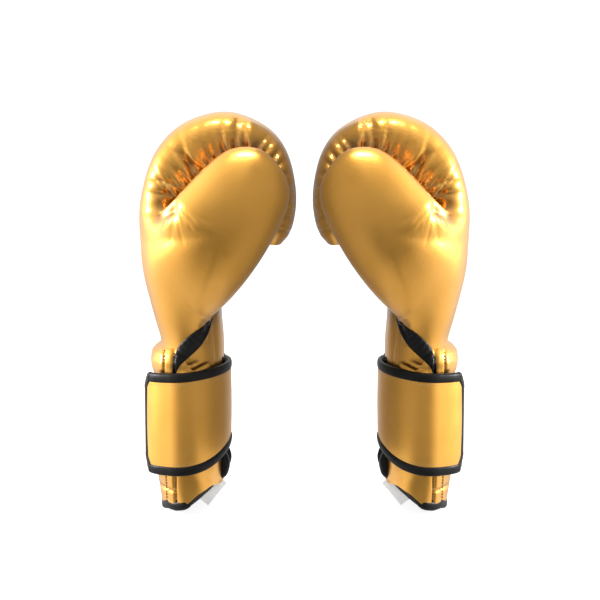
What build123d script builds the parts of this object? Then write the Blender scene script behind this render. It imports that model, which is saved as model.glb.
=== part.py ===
"""A pair of hook-and-loop boxing gloves, standing upright on their cuffs with the palms facing each other.

Every piece is modelled once, for the left glove, in the glove's own frame: X runs from the back of the hand (-)
to the palm (+), Y from the thumb (-) to the little finger (+), and Z up towards the knuckles, with z = 0 at the
lowest edge of the cuff. The last section sets it beside its mirror image, one each side of the plane X = 0.
Lengths are in millimetres.
"""

import os
from math import asin, cos, pi, radians, sin

from build123d import *

os.makedirs("parts", exist_ok=True)

# ---------------------------------------------------------------- driving dimensions

PAIR_OFFSET = 90.0  # from the plane between the gloves to each glove's own axis
CENTRE_Y = 7.5  # moves the pair so that it stands centred on the origin
LEATHER = 1.2  # outer leather
LINING = 0.8
CLEAR = 0.4  # air left between layers that are laid on each other
REACH = 140.0  # half length of the cutting prisms, past every side of a glove

# Stations along the fist, from the wrist over the knuckles to the finger tips:
# (x, z) on the outside, (x, z) on the palm side, half width, centre in Y,
# and the padding on the outside, on the palm side and at the two sides.
FIST = [
    ((-22, 124), (23, 124), 41, 0, 6, 5, 5),
    ((-24, 141), (22, 140), 43, 1, 8, 5, 6),
    ((-31.5, 165), (20.5, 160), 47, 4, 12, 5, 8),
    ((-38.5, 196), (22, 186), 52, 8, 17, 6, 11),
    ((-39.5, 220), (25, 207), 55, 10.5, 21, 6, 13),
    ((-36, 248), (28.5, 224), 57, 12, 25, 7, 13),
    ((-24, 281), (32, 235), 58, 13, 29, 7, 13),
    ((-2, 303), (35.5, 240), 58, 13, 31, 7, 13),
    ((30.5, 312), (39, 242), 57.5, 12.5, 31, 7, 13),
    ((60, 301), (42.5, 240), 57, 12, 27, 7, 13),
    ((76.5, 280), (45.5, 235), 56, 11.5, 20, 7, 13),
    ((83.5, 245), (47.5, 226), 54, 11, 14, 7, 14),
    ((80, 222), (49.5, 219), 49, 10.5, 12, 8, 18),
    ((71, 211.5), (55, 213.5), 38, 10, 0, 0, 0),
]
SECTION_POWER = 2.4  # above 2 makes a cross-section squarer than an ellipse
HALF_POINTS = 8  # steps along half a cross-section
SPLIT_GAP = 0.4  # between the back and palm halves

# The thumb's outline seen from its own side, and how far it shrinks at each depth in Y.
THUMB_OUTLINE = [
    (47, 285), (61, 281.5), (74, 267.5), (79, 250), (73, 229.5), (57, 200.5), (37.5, 174.5), (14, 151.5),
    (-1, 142), (-11, 148), (-14, 175), (-13, 205), (-7, 235), (5, 257), (18, 272), (32, 281.5),
]
THUMB_CENTRE = (30, 222)
THUMB_DEPTHS = [(-47, 0.60), (-50, 0.82), (-55, 0.94), (-62, 1.0), (-70, 0.97), (-77, 0.85), (-83, 0.62), (-86, 0.34)]
THUMB_POCKET = [(-44, 0.30), (-58, 0.46), (-66, 0.5), (-72, 0.42)]
THUMB_POCKET_SHIFT = (-12, -14)  # the pocket sits low in the thumb, towards the hand
THUMB_PORT_AT = (4, 190)  # where the thumb goes through the side of the hand pocket
THUMB_PORT_RADIUS = 12.0

# The cuff's outline at four heights: (z, centre x, half size in X, half size in Y).
CUFF = [(-3, 2.5, 24.5, 39), (35, 0, 27, 42.5), (113, -0.8, 27.5, 43), (122.5, -0.5, 25.5, 42)]
CUFF_TOP = 122.5
WALL = 6.6  # leather, foam and lining together
FOAM_FROM, FOAM_TO = LEATHER + 0.3, WALL - LINING - 0.3

# The cuff's lower edge seen from the side: flat at the back, where it stands, and rising to the palm.
RIM_LINE = [(-60, 0), (-12, 0), (0, 5.5), (12, 14.5), (24, 22), (34, 26.5)]
RIM_BAND = 8.0
RIM_PROUD, RIM_DEEP = 0.9, WALL + 0.7

# The slit down the palm side of the cuff: half width at each height.
SLIT = [(-5, 13), (40, 10.5), (110, 7), (146, 3.5)]
SLIT_TOP = 152.0
SLIT_BINDING = 4.5

LABEL_AT, LABEL_SIZE = (18.8, -14, 10), (15, 13)  # hangs below the rim, beside the slit

# The wrist strap is an ellipse round the cuff: its layers are offsets from that ellipse.
STRAP_CENTRE, STRAP_A, STRAP_B = -0.8, 27.5, 43.0
STRAP_IN, STRAP_OUT = 1.9, 5.6
CORE_IN, CORE_OUT = 2.9, 4.2
FACE_IN, FACE_OUT = 4.4, 5.3
STRAP_TOP = [(-60, 111.5), (-30, 112.5), (0, 115), (30, 118.5), (60, 121)]
STRAP_FOOT = [(-60, 33), (-10, 34.5), (8, 37), (20, 42), (28, 49), (33, 57), (60, 63)]
STRAP_BAND = 7.5
# Angles round the wrist, in degrees: 0 is the palm, -90 the thumb side, -180 the back of the hand.
SEWN_EDGE, FOLD_1, FOLD_2, FREE_EDGE = 50, -38, -105, -142
FOLD_GAP = 0.7  # half the gap left at a fold, in degrees


# ---------------------------------------------------------------- helpers


def squared(value):
    """Bends a sine or cosine so that an ellipse drawn with it has squarer corners."""
    return abs(value) ** (2 / SECTION_POWER) * (1 if value >= 0 else -1)


def half_curve(half_width, low, high, start, side):
    """Points of the part of a rounded outline that lies above (side = 1) or below (-1) the height start."""
    middle, half = (low + high) / 2, (high - low) / 2
    level = side * (start - middle) / half
    first = asin(abs(level) ** (SECTION_POWER / 2) * (1 if level >= 0 else -1))
    angles = [first + (pi - 2 * first) * k / HALF_POINTS for k in range(HALF_POINTS + 1)]
    return [(half_width * squared(cos(a)), middle + side * half * squared(sin(a))) for a in angles]


def section_frame(station):
    """The plane of a station, its Y axis pointing outwards, and half the distance from outside to palm side."""
    outer, inner = Vector(station[0][0], 0, station[0][1]), Vector(station[1][0], 0, station[1][1])
    out = (outer - inner).normalized()
    middle = (outer + inner) * 0.5 + Vector(0, station[3], 0)
    return Plane(origin=middle, x_dir=(0, 1, 0), z_dir=Vector(0, 1, 0).cross(out)), (outer - inner).length / 2


def skin_depth(inset):
    """Curve limits of a layer boundary that follows the outside of the fist."""
    return lambda s, half: (s[2] - inset, inset - half, half - inset)


def pocket_depth(inset):
    """Curve limits of a layer boundary that follows the hollow for the hand."""
    return lambda s, half: (s[2] - s[6] - inset, s[5] + inset - half, half - s[4] - inset)


def half_layer(stations, outer, inner, side):
    """One half (side 1 is the back, -1 the palm) of a layer of the fist, lofted through its stations."""
    with BuildPart() as layer:
        for station in stations:
            plane, half = section_frame(station)
            start = (station[5] - station[4]) / 2 + side * SPLIT_GAP / 2
            outside = half_curve(*outer(station, half), start, side)
            inside = half_curve(*inner(station, half), start, side)
            with BuildSketch(plane):
                with BuildLine():
                    Spline(*outside)
                    Spline(*inside)
                    Line(outside[0], inside[0])
                    Line(outside[-1], inside[-1])
                make_face()
        loft(ruled=True)
    return layer.part


def tip_block(stations, outer, side, depth=0.0):
    """Closes one half of a layer at the finger tips, between two stations or by a plate of the given depth."""
    with BuildPart() as block:
        for station in stations:
            plane, half = section_frame(station)
            outside = half_curve(*outer(station, half), (station[5] - station[4]) / 2 + side * SPLIT_GAP / 2, side)
            with BuildSketch(plane):
                with BuildLine():
                    Spline(*outside)
                    Line(outside[0], outside[-1])
                make_face()
        if depth:
            extrude(amount=depth)
        else:
            loft(ruled=True)
    return block.part


def edge_curve(points, shift):
    """Draws a side-view edge: straight to its second point, then a smooth curve. Returns its two ends."""
    points = [Vector(x, z + shift) for x, z in points]
    Line(points[0], points[1])
    if len(points) > 2:
        Spline(*points[1:], tangents=[points[1] - points[0], points[-1] - points[-2]])
    return points[0], points[-1]


def side_prism(lower, upper, lower_shift=0.0, upper_shift=0.0):
    """Everything between two side-view edges, each a list of (x, z), whatever its Y."""
    with BuildPart() as prism:
        with BuildSketch(Plane.XZ):
            with BuildLine():
                low = edge_curve(lower, lower_shift)
                high = edge_curve(upper, upper_shift)
                Line(low[0], high[0])
                Line(low[1], high[1])
            make_face()
        extrude(amount=REACH, both=True)
    return prism.part


def cuff_solid(offset, low=CUFF[0][0], high=CUFF[-1][0]):
    """The cuff as a solid, its outline moved out by offset."""
    with BuildPart() as solid:
        for z, centre, half_x, half_y in CUFF:
            z = {CUFF[0][0]: low, CUFF[-1][0]: high}.get(z, z)
            with BuildSketch(Plane.XY.offset(z)):
                with Locations((centre, 0)):
                    Ellipse(half_x + offset, half_y + offset)
        loft(ruled=True)
    return solid.part


def cuff_ring(outer, inner):
    """A layer of the cuff wall between two offsets from its outer surface."""
    with BuildPart() as ring:
        add(cuff_solid(outer))
        add(cuff_solid(inner, low=CUFF[0][0] - 1, high=CUFF[-1][0] + 1), mode=Mode.SUBTRACT)
    return ring.part


def strap_ring(inner, outer):
    """A layer of the strap between two offsets from its base ellipse, taller than the strap."""
    with BuildPart() as ring:
        with BuildSketch():
            with Locations((STRAP_CENTRE, 0)):
                Ellipse(STRAP_A + outer, STRAP_B + outer)
                Ellipse(STRAP_A + inner, STRAP_B + inner, mode=Mode.SUBTRACT)
        extrude(amount=REACH)
    return ring.part


def sector(start, end):
    """A wedge round the strap's centre from one angle to another, in degrees."""
    steps = 6
    angles = [radians(start + (end - start) * k / steps) for k in range(steps + 1)]
    with BuildPart() as wedge:
        with BuildSketch():
            with BuildLine():
                Polyline(
                    (STRAP_CENTRE, 0), *[(STRAP_CENTRE + REACH * cos(a), REACH * sin(a)) for a in angles], close=True
                )
            make_face()
        extrude(amount=REACH)
    return wedge.part


def slit_prism(grow):
    """The slit's shape, grown by a margin, cut from the palm side in."""
    right = [(half + grow, z) for z, half in SLIT]
    with BuildPart() as prism:
        with BuildSketch(Plane.YZ.offset(5)):
            with BuildLine():
                Polyline(*right, (0, SLIT_TOP + grow), *[(-y, z) for y, z in reversed(right)], close=True)
            make_face()
        extrude(amount=60)
    return prism.part


def thumb_solid(inset):
    """The thumb as a pillow: its outline, shrunk about its centre, lofted through its depths."""
    shrink = 1 - inset / 34
    first, last = THUMB_DEPTHS[0][0], THUMB_DEPTHS[-1][0]
    middle = (first + last) / 2
    half = (first - last) / 2
    with BuildPart() as solid:
        for depth, scale in THUMB_DEPTHS:
            y = middle + (depth - middle) * (half - inset) / half
            points = [
                (THUMB_CENTRE[0] + (x - THUMB_CENTRE[0]) * scale * shrink,
                 THUMB_CENTRE[1] + (z - THUMB_CENTRE[1]) * scale * shrink)
                for x, z in THUMB_OUTLINE
            ]
            with BuildSketch(Plane.XZ.offset(-y)):
                with BuildLine():
                    Spline(*points, periodic=True)
                make_face()
        loft(ruled=True)
    return solid.part


def thumb_pocket(inset):
    """The hollow for the thumb, open towards the hand."""
    with BuildPart() as solid:
        for depth, scale in THUMB_POCKET:
            scale -= inset / 34
            points = [
                (THUMB_CENTRE[0] + THUMB_POCKET_SHIFT[0] + (x - THUMB_CENTRE[0]) * scale,
                 THUMB_CENTRE[1] + THUMB_POCKET_SHIFT[1] + (z - THUMB_CENTRE[1]) * scale)
                for x, z in THUMB_OUTLINE
            ]
            y = depth + (inset if depth < THUMB_POCKET[0][0] else 0)
            with BuildSketch(Plane.XZ.offset(-y)):
                with BuildLine():
                    Spline(*points, periodic=True)
                make_face()
        loft(ruled=True)
    return solid.part


def port(radius, near, far):
    """The hole between the hand pocket and the thumb pocket, from y = near to y = far."""
    with BuildPart() as hole:
        with BuildSketch(Plane.XZ.offset(-near)):
            with Locations(THUMB_PORT_AT):
                Circle(radius)
        extrude(amount=near - far)
    return hole.part


# ---------------------------------------------------------------- shared cutters

slit_hole = slit_prism(0)
slit_trim = slit_prism(SLIT_BINDING)
cuff_body = side_prism(RIM_LINE, [(-60, CUFF_TOP), (60, CUFF_TOP)], lower_shift=RIM_BAND + 0.2)
rim_band = side_prism(RIM_LINE, RIM_LINE, upper_shift=RIM_BAND)
above_rim = side_prism(RIM_LINE, [(-60, 200), (60, 200)])
strap_face_zone = side_prism(STRAP_FOOT, STRAP_TOP, lower_shift=STRAP_BAND + 0.1, upper_shift=-STRAP_BAND - 0.1)
strap_top_zone = side_prism(STRAP_TOP, STRAP_TOP, lower_shift=-STRAP_BAND)
strap_foot_zone = side_prism(STRAP_FOOT, STRAP_FOOT, upper_shift=STRAP_BAND)

pieces = {}


def keep(name, part):
    pieces[name] = part


# ---------------------------------------------------------------- fist

HALVES = {"back": 1, "palm": -1}
FOAM_NAMES = {"back": "knuckle_foam", "palm": "palm_foam"}

for half_name, side in HALVES.items():
    with BuildPart() as shell:
        add(half_layer(FIST, skin_depth(0), skin_depth(LEATHER), side))
        add(tip_block(FIST[-1:], skin_depth(0), side, depth=LEATHER))
        add(slit_trim, mode=Mode.SUBTRACT)
        add(port(THUMB_PORT_RADIUS, -20, -60), mode=Mode.SUBTRACT)
    keep(half_name + "_shell", shell.part)

    with BuildPart() as foam:
        add(half_layer(FIST[:-1], skin_depth(LEATHER + CLEAR), pocket_depth(0), side))
        add(tip_block(FIST[-2:], skin_depth(LEATHER + CLEAR), side))
        add(slit_trim, mode=Mode.SUBTRACT)
        add(port(THUMB_PORT_RADIUS, -20, -60), mode=Mode.SUBTRACT)
    keep(FOAM_NAMES[half_name], foam.part)

    with BuildPart() as hand_lining:
        add(half_layer(FIST[:-1], pocket_depth(CLEAR), pocket_depth(CLEAR + LINING), side))
        add(slit_trim, mode=Mode.SUBTRACT)
        add(port(THUMB_PORT_RADIUS, -20, -60), mode=Mode.SUBTRACT)
    keep(half_name + "_lining", hand_lining.part)

with BuildPart() as grip_bar:
    with BuildSketch(Plane.XZ.offset(-45)):
        with Locations((10, 205)):
            Circle(5.5)
    extrude(amount=64)
    fillet(grip_bar.faces().filter_by(Axis.Y).edges(), 2.5)
keep("grip_bar", grip_bar.part)

# The bar's ends sit in sockets in the palm's lining and foam.
with BuildPart() as bar_socket:
    with BuildSketch(Plane.XZ.offset(-45.5)):
        with Locations((10, 205)):
            Circle(5.9)
    extrude(amount=65)
for socketed in ("palm_foam", "palm_lining"):
    with BuildPart() as with_socket:
        add(pieces[socketed])
        add(bar_socket.part, mode=Mode.SUBTRACT)
    keep(socketed, with_socket.part)

# ---------------------------------------------------------------- thumb

with BuildPart() as thumb_shell:
    add(thumb_solid(0))
    add(thumb_solid(LEATHER), mode=Mode.SUBTRACT)
    add(port(THUMB_PORT_RADIUS, -40, -54), mode=Mode.SUBTRACT)
keep("thumb_shell", thumb_shell.solids().sort_by(SortBy.VOLUME)[-1])

with BuildPart() as thumb_foam:
    add(thumb_solid(LEATHER + CLEAR))
    add(thumb_pocket(0), mode=Mode.SUBTRACT)
    add(port(THUMB_PORT_RADIUS, -40, -62), mode=Mode.SUBTRACT)
keep("thumb_foam", thumb_foam.part)

with BuildPart() as thumb_lining:
    add(thumb_pocket(CLEAR))
    add(thumb_pocket(CLEAR + LINING), mode=Mode.SUBTRACT)
    add(port(THUMB_PORT_RADIUS, -40, -62), mode=Mode.SUBTRACT)
    with Locations((THUMB_CENTRE[0], -44, THUMB_CENTRE[1])):
        Box(120, 11, 160, mode=Mode.SUBTRACT)
keep("thumb_lining", thumb_lining.part)

# ---------------------------------------------------------------- cuff


def cuff_layer(outer, inner):
    with BuildPart() as layer:
        add(cuff_ring(outer, inner))
        add(cuff_body, mode=Mode.INTERSECT)
        add(slit_trim, mode=Mode.SUBTRACT)
    return layer.part


keep("cuff_leather", cuff_layer(0, -LEATHER))
keep("cuff_foam", cuff_layer(-FOAM_FROM, -FOAM_TO))
keep("cuff_lining", cuff_layer(-(WALL - LINING), -WALL))

with BuildPart() as rim_binding:
    add(cuff_ring(RIM_PROUD, -RIM_DEEP))
    add(rim_band, mode=Mode.INTERSECT)
    add(slit_trim, mode=Mode.SUBTRACT)
keep("rim_binding", rim_binding.part)

with BuildPart() as slit_binding:
    add(cuff_ring(RIM_PROUD, -RIM_DEEP))
    add(slit_prism(SLIT_BINDING - 0.2), mode=Mode.INTERSECT)
    add(slit_hole, mode=Mode.SUBTRACT)
    add(above_rim, mode=Mode.INTERSECT)
keep("slit_binding", slit_binding.part)

with BuildPart() as slit_elastic:
    add(cuff_ring(-2.4, -4.0))
    add(slit_prism(-0.3), mode=Mode.INTERSECT)
    add(side_prism(RIM_LINE, [(-60, 119), (60, 119)], lower_shift=3), mode=Mode.INTERSECT)
keep("slit_elastic", slit_elastic.part)

with BuildPart() as side_panels:
    add(cuff_ring(0.7, 0.1))
    add(cuff_body, mode=Mode.INTERSECT)
    with BuildSketch(Plane.XZ.offset(-REACH)):
        with BuildLine():
            Polyline((-13, -5), (-4, -5), (-4, 130), (-13, 130), close=True)
        make_face()
    extrude(amount=2 * REACH, mode=Mode.INTERSECT)
keep("side_panels", side_panels.part)

with BuildPart() as loop_panel:
    add(strap_ring(0.3, 1.5))
    add(sector(-118, -215), mode=Mode.INTERSECT)
    with Locations((0, 0, 74)):
        Box(200, 200, 58, mode=Mode.INTERSECT)
keep("loop_panel", loop_panel.part)

with BuildPart() as back_patch:
    add(strap_ring(1.7, 2.5))
    add(sector(-150, -206), mode=Mode.INTERSECT)
    with Locations((0, 0, 70)):
        Box(200, 200, 44, mode=Mode.INTERSECT)
keep("back_patch", back_patch.part)

with BuildPart() as palm_gusset:
    add(half_layer(FIST[:4], skin_depth(-LEATHER), skin_depth(-0.1), -1))
    with BuildSketch(Plane.XZ.offset(10)):
        with BuildLine():
            Spline((-6, 126.5), (2, 141), (19, 157))
            Spline((19, 157), (14, 138), (-1, 126.5))
            Line((-6, 126.5), (-1, 126.5))
        make_face()
    extrude(amount=60, mode=Mode.INTERSECT)
keep("palm_gusset", palm_gusset.part)

with BuildPart() as care_label:
    with BuildSketch(Plane(origin=LABEL_AT, x_dir=(1, 0, 0), z_dir=(0, -1, 0))):
        Rectangle(*LABEL_SIZE, rotation=-15)
    extrude(amount=0.25, both=True)
keep("care_label", care_label.part)

# ---------------------------------------------------------------- strap


def strap_piece(inner, outer, start, end, zones):
    """A length of one strap layer between two angles, in each of the given side-view zones."""
    with BuildPart() as piece:
        for zone in zones:
            add(strap_ring(inner, outer).intersect(zone, sector(start, end)))
    return piece.part


SPANS = {
    "strap_base": (SEWN_EDGE, FOLD_1 + FOLD_GAP),
    "strap_wing": (FOLD_1 - FOLD_GAP, FOLD_2 + FOLD_GAP),
}
for span, (start, end) in SPANS.items():
    keep(span, strap_piece(FACE_IN, FACE_OUT, start, end, [strap_face_zone]))
    keep(span + "_core", strap_piece(CORE_IN, CORE_OUT, start, end, [strap_face_zone]))
    keep(span + "_binding", strap_piece(STRAP_IN, STRAP_OUT, start, end, [strap_top_zone, strap_foot_zone]))

END_BAND = 4.0  # angle taken by the binding down the free edge
tip_start = FOLD_2 - FOLD_GAP
keep("strap_tip", strap_piece(FACE_IN, FACE_OUT, tip_start, FREE_EDGE + END_BAND + 0.2, [strap_face_zone]))
keep("hook_panel", strap_piece(STRAP_IN + 0.1, CORE_OUT, tip_start, FREE_EDGE + END_BAND + 0.2, [strap_face_zone]))

with BuildPart() as strap_tip_binding:
    add(strap_piece(STRAP_IN, STRAP_OUT, tip_start, FREE_EDGE, [strap_top_zone, strap_foot_zone]))
    add(strap_piece(STRAP_IN, STRAP_OUT, FREE_EDGE + END_BAND, FREE_EDGE, [side_prism(STRAP_FOOT, STRAP_TOP)]))
keep("strap_tip_binding", strap_tip_binding.part)

# ---------------------------------------------------------------- the pair

for name, piece in pieces.items():
    with BuildPart() as left:
        add(piece.moved(Location((-PAIR_OFFSET, CENTRE_Y, 0))))
    with BuildPart() as right:
        mirror(left.part, about=Plane.YZ)
    for side, placed in (("left", left), ("right", right)):
        placed.part.label = f"{side}_{name}"
        export_step(placed.part, f"parts/{side}_{name}.step")
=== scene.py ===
"""The looks of a pair of gold boxing gloves: leather, bindings, straps, stitching, studio and camera.

The gloves are modelled in the left glove's own frame, in millimetres: X from the back of the hand (-) to
the palm (+), Y from the thumb (-) to the little finger (+), Z up. Each mesh is made once, and make() puts
it in place, mirrored for the right glove.
"""

import math
import random

import bpy
import numpy as np
import openvdb as vdb
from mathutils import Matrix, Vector
from mathutils.bvhtree import BVHTree

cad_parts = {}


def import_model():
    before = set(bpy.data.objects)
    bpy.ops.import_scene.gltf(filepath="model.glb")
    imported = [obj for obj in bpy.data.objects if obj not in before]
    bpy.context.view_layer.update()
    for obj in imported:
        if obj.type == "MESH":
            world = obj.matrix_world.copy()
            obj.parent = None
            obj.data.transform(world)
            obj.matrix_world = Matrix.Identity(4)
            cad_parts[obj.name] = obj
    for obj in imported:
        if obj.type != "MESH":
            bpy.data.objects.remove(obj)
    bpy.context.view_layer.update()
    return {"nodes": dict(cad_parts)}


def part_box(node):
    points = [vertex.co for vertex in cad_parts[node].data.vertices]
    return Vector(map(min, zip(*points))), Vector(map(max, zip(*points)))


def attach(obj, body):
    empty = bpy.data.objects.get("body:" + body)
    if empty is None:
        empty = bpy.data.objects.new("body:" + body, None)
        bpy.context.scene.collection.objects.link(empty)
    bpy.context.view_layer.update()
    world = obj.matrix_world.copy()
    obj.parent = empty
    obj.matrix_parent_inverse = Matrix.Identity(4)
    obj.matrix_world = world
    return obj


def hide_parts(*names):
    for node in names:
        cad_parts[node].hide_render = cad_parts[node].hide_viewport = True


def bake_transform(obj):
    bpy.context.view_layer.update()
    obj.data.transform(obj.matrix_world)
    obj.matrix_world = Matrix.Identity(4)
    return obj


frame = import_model()
SIDES = ("left", "right")

# ---------------------------------------------------------------- the glove's frame

BAR_CENTRE = (10.0, 13.0)  # the grip bar's centre in the glove's frame
bar_low, bar_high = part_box("left_grip_bar")
GLOVE_X = (bar_low.x + bar_high.x) / 2 * 1000 - BAR_CENTRE[0]
GLOVE_Y = (bar_low.y + bar_high.y) / 2 * 1000 - BAR_CENTRE[1]

# Stations of the fist, from the wrist to the finger tips: (x, z) outside, (x, z) on the palm side, half
# width, centre in Y, then the thickness of the padding outside, on the palm side and at the sides.
FIST = [
    ((-22.5, 118), (26.3, 104), 40, 0, 6, 5, 5),
    ((-22.5, 127), (26.5, 116), 41, 0, 6, 5, 5),
    ((-23.2, 141), (26.5, 134), 43, 1, 8, 5, 6),
    ((-29, 165), (24.5, 158), 47, 4, 12, 5, 8),
    ((-36.2, 193), (24, 184), 52, 8, 17, 6, 11),
    ((-38.8, 220), (26, 207), 55, 10.5, 21, 6, 13),
    ((-36, 248), (28.5, 224), 57, 12, 25, 7, 13),
    ((-24, 281), (32, 235), 58, 13, 29, 7, 13),
    ((-2, 303), (35.5, 240), 58, 13, 31, 7, 13),
    ((30.5, 311.5), (39, 242), 57.5, 12.5, 31, 7, 13),
    ((60, 300.5), (42.5, 240), 57, 12, 27, 7, 13),
    ((76.5, 280), (45.5, 235), 56, 11.5, 20, 7, 13),
    ((83.5, 248), (47.5, 226), 54, 11, 14, 7, 14),
    ((80.5, 222), (50, 217), 50, 10.5, 12, 8, 18),
    ((72, 209.5), (56, 211.5), 40, 10, 5, 5, 20),
]

# The thumb's outline in side view, (x, z), from its tip down the palm side and up the other side.
THUMB_OUTLINE = [
    (47, 285), (61, 281.5), (74, 267.5), (79, 250), (73, 229.5), (57, 200.5), (37.5, 174.5), (14, 151.5),
    (0, 140), (-14, 146), (-23, 170), (-28, 200), (-22, 229), (-6, 246), (15, 268), (32, 281.5),
]
THUMB_CENTRE = (30.0, 222.0)
THUMB_BACK, THUMB_EDGE, THUMB_FRONT = -46, -64, -85  # Y of its flat back, its widest outline and its crown
ROOT_BEND, BEND_TOP, BEND_HEIGHT = 38, 250, 110  # how far its root bends back, and over what height
CREASE_END = (-6.0, 246.0)  # where the crease behind the thumb ends, (x, z)
GATHER_END = (76, 238)  # where the gathers along that crease stop, (x, z)


# ---------------------------------------------------------------- mesh helpers


def smoothstep(low, high, value):
    t = np.clip((value - low) / (high - low), 0, 1)
    return t * t * (3 - 2 * t)


POINTS_PER_SPAN = 24


def resample(points, count, closed=False):
    """A smooth (Catmull-Rom) curve through rows of points, as count rows evenly spaced along it."""
    p = np.asarray(points, float)
    if closed:
        p = np.vstack([p[-1:], p, p[:2]])
    else:
        p = np.vstack([2 * p[0] - p[1], p, 2 * p[-1] - p[-2]])
    fine = []
    for i in range(1, len(p) - 2):
        t = np.linspace(0, 1, POINTS_PER_SPAN, endpoint=False)[:, None]
        a, b, c, d = p[i - 1], p[i], p[i + 1], p[i + 2]
        quadratic, cubic = 2 * a - 5 * b + 4 * c - d, 3 * b - a - 3 * c + d
        fine.append(0.5 * (2 * b + (c - a) * t + quadratic * t**2 + cubic * t**3))
    fine = np.vstack([*fine, p[-2][None]])
    length = np.concatenate([[0], np.cumsum(np.linalg.norm(np.diff(fine, axis=0), axis=1))])
    wanted = np.linspace(0, length[-1], count, endpoint=not closed)
    return np.stack([np.interp(wanted, length, fine[:, k]) for k in range(p.shape[1])], axis=1)


def grid_faces(rows, columns, closed=False):
    """Quads of a grid of points, row by row. closed joins the last column to the first."""
    i, j = np.meshgrid(np.arange(rows - 1), np.arange(columns if closed else columns - 1), indexing="ij")
    next_j = (j + 1) % columns
    corners = [i * columns + j, (i + 1) * columns + j, (i + 1) * columns + next_j, i * columns + next_j]
    return np.stack(corners, -1).reshape(-1, 4)


def tube(rows, cap=True):
    """Vertices and faces of a closed tube whose rows are rings of points."""
    rows = np.asarray(rows, float)
    n, m, _ = rows.shape
    faces = [list(f) for f in grid_faces(n, m, closed=True)]
    verts = rows.reshape(-1, 3)
    if cap:
        verts = np.vstack([verts, rows[0].mean(0)[None], rows[-1].mean(0)[None]])
        for j in range(m):
            k = (j + 1) % m
            faces.append([n * m, j, k])
            faces.append([n * m + 1, (n - 1) * m + k, (n - 1) * m + j])
    return verts, faces


def merge(meshes):
    verts, faces = [], []
    for v, f in meshes:
        offset = sum(len(x) for x in verts)
        verts.append(v)
        faces += [[i + offset for i in face] for face in f]
    return np.vstack(verts), faces


def superellipse(angles, power):
    """The two coordinates round a unit superellipse, which is a circle at power 2 and squarer above it."""
    u = np.sign(np.cos(angles)) * np.abs(np.cos(angles)) ** (2 / power)
    v = np.sign(np.sin(angles)) * np.abs(np.sin(angles)) ** (2 / power)
    return u, v


def vertex_normals(verts, quads):
    cross = np.cross(verts[quads[:, 2]] - verts[quads[:, 0]], verts[quads[:, 3]] - verts[quads[:, 1]])
    normals = np.zeros_like(verts)
    for c in range(4):
        for k in range(3):
            normals[:, k] += np.bincount(quads[:, c], weights=cross[:, k], minlength=len(verts))
    return normals / np.maximum(np.linalg.norm(normals, axis=1, keepdims=True), 1e-9)


def relax(verts, quads, rounds):
    """Taubin smoothing, which takes off small bumps and keeps the size."""
    edges = np.vstack([quads[:, [0, 1]], quads[:, [1, 2]], quads[:, [2, 3]], quads[:, [3, 0]]])
    a, b = edges[:, 0], edges[:, 1]
    count = np.maximum(np.bincount(a, minlength=len(verts)), 1)[:, None]
    for _ in range(rounds):
        for push in (0.5, -0.52):
            sums = [np.bincount(a, weights=verts[b, k], minlength=len(verts)) for k in range(3)]
            verts = verts + push * (np.stack(sums, 1) / count - verts)
    return verts


def make(name, verts, faces, side, material, body=None, sharp=55):
    """Adds a mesh given in the left glove's frame as an object of one side, smooth up to a sharp angle."""
    verts = np.asarray(verts, float) + (GLOVE_X, GLOVE_Y, 0)
    if side == "right":
        verts = verts * (-1, 1, 1)
    faces = [[int(v) for v in (reversed(f) if side == "right" else f)] for f in faces]
    mesh = bpy.data.meshes.new(f"{side}_{name}")
    mesh.from_pydata((verts / 1000).tolist(), [], faces)
    mesh.materials.append(material)
    mesh.polygons.foreach_set("use_smooth", np.ones(len(mesh.polygons), bool))
    mesh.update()
    if sharp:
        mesh.set_sharp_from_angle(angle=math.radians(sharp))
    obj = bpy.data.objects.new(f"{side}_{name}", mesh)
    bpy.context.scene.collection.objects.link(obj)
    if body:
        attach(obj, f"{side}_{body}")
    return obj


def world(side, x, y, z):
    """A point of the left glove's frame as metres in the row frame."""
    sign = 1 if side == "left" else -1
    return (sign * (GLOVE_X + x) / 1000, (GLOVE_Y + y) / 1000, z / 1000)


# ---------------------------------------------------------------- materials


def nodes_of(name):
    material = bpy.data.materials.new(name)
    material.use_nodes = True
    tree = material.node_tree
    return material, tree, tree.nodes["Principled BSDF"]


def link(tree, source, output, target, socket):
    tree.links.new(source.outputs[output], target.inputs[socket])


def noise(tree, coords, scale, detail=3.0, roughness=0.5, distortion=0.0):
    n = tree.nodes.new("ShaderNodeTexNoise")
    n.inputs["Scale"].default_value = scale
    n.inputs["Detail"].default_value = detail
    n.inputs["Roughness"].default_value = roughness
    n.inputs["Distortion"].default_value = distortion
    link(tree, coords, "Object", n, "Vector")
    return n


def bump(tree, height, output, strength, distance, normal=None):
    b = tree.nodes.new("ShaderNodeBump")
    b.inputs["Strength"].default_value = strength
    b.inputs["Distance"].default_value = distance
    link(tree, height, output, b, "Height")
    if normal:
        link(tree, normal, "Normal", b, "Normal")
    return b


def ramp(tree, source, output, stops):
    r = tree.nodes.new("ShaderNodeValToRGB")
    while len(r.color_ramp.elements) < len(stops):
        r.color_ramp.elements.new(0.5)
    for element, (position, colour) in zip(r.color_ramp.elements, stops):
        element.position = position
        element.color = (*colour, 1)
    link(tree, source, output, r, "Fac")
    return r


MIX_A, MIX_B, MIX_RESULT = 6, 7, 2  # a mix node's sockets for two colours, and for the result
# Painted shade: the dark brown that the leather's colour is mixed towards in the folds and along the thumb's
# seam.
PAINTED_SHADE_COLOUR = (0.2, 0.115, 0.045, 1)


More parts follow.
